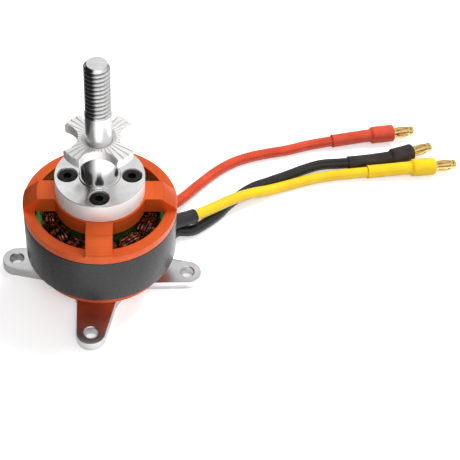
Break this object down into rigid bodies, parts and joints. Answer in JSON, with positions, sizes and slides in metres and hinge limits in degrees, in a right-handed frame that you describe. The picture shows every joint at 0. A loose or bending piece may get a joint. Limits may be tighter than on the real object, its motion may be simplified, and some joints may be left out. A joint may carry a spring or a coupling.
{
  "type": "brushless outrunner motor",
  "caption": "Outrunner motor on a cross-shaped mount: a spoked bell and can turn round a wound stator, with a threaded propeller adapter in front and three plug leads behind.",
  "frame": {"origin": "on the motor's axis, at the underside of the X mount", "axes": "+Z along the axis towards the propeller, +X and +Y along arms of the X mount; the leads run off towards +X and +Y"},
  "size_m": [0.1638, 0.1193, 0.092],
  "materials": {
    "polished_aluminium": "polished, faint turning marks",
    "orange_anodised": "satin orange anodising",
    "black_oxide": "black oxide",
    "green_core": "green insulating coat on stacked steel",
    "copper": "dark enamelled copper wire",
    "bearing_steel": "ground steel",
    "gunmetal": "dark plated steel, satin",
    "magnet": "nickel plate",
    "satin_aluminium": "satin, serrated top",
    "gold": "gold plate",
    "lead_red": "silicone, satin",
    "lead_black": "silicone, glossy",
    "lead_yellow": "silicone, satin",
    "shrink_red": "heat-shrink tube, matte",
    "shrink_black": "heat-shrink tube, matte",
    "shrink_yellow": "heat-shrink tube, matte"
  },
  "bodies": {
    "stator": {"x_mount": "polished_aluminium", "mount_screw_1": "black_oxide", "mount_screw_2": "black_oxide", "mount_screw_3": "black_oxide", "mount_screw_4": "black_oxide", "base_housing": "orange_anodised", "stator_core": "green_core", "winding_a": "copper", "winding_b": "copper", "winding_c": "copper", "front_bearing_outer_ring": "bearing_steel", "rear_bearing_outer_ring": "bearing_steel", "lead_red": "lead_red", "plug_sleeve_red": "shrink_red", "plug_red": "gold", "contact_spring_red": "gold", "lead_black": "lead_black", "plug_sleeve_black": "shrink_black", "plug_black": "gold", "contact_spring_black": "gold", "lead_yellow": "lead_yellow", "plug_sleeve_yellow": "shrink_yellow", "plug_yellow": "gold", "contact_spring_yellow": "gold", "exit_sleeve_yellow": "shrink_black"},
    "rotor": {"rotor_shaft": "bearing_steel", "retaining_clip": "black_oxide", "thrust_washer": "bearing_steel", "front_bearing_inner_ring": "bearing_steel", "rear_bearing_inner_ring": "bearing_steel", "front_bell": "orange_anodised", "flux_ring": "gunmetal", "magnet_01": "magnet", "magnet_02": "magnet", "magnet_03": "magnet", "magnet_04": "magnet", "magnet_05": "magnet", "magnet_06": "magnet", "magnet_07": "magnet", "magnet_08": "magnet", "magnet_09": "magnet", "magnet_10": "magnet", "magnet_11": "magnet", "magnet_12": "magnet", "magnet_13": "magnet", "magnet_14": "magnet", "prop_adapter": "polished_aluminium", "drive_washer": "satin_aluminium", "adapter_screw_1": "black_oxide", "adapter_screw_2": "black_oxide", "adapter_screw_3": "black_oxide", "adapter_screw_4": "black_oxide"},
    "front_ball_cage": {"front_bearing_balls": "bearing_steel"},
    "rear_ball_cage": {"rear_bearing_balls": "bearing_steel"}
  },
  "joints": [
    {"name": "rotor_spin", "type": "hinge", "parent": "stator", "child": "rotor", "pos_m": [0, 0, 0.03], "axis": [0, 0, 1], "continuous": true},
    {"name": "front_cage_spin", "type": "hinge", "parent": "stator", "child": "front_ball_cage", "pos_m": [0, 0, 0.0285], "axis": [0, 0, 1], "continuous": true},
    {"name": "rear_cage_spin", "type": "hinge", "parent": "stator", "child": "rear_ball_cage", "pos_m": [0, 0, 0.0093], "axis": [0, 0, 1], "continuous": true}
  ],
  "couplings": [
    {"joint": "front_cage_spin", "follows": "rotor_spin", "ratio": 0.4198},
    {"joint": "rear_cage_spin", "follows": "rotor_spin", "ratio": 0.4198}
  ]
}
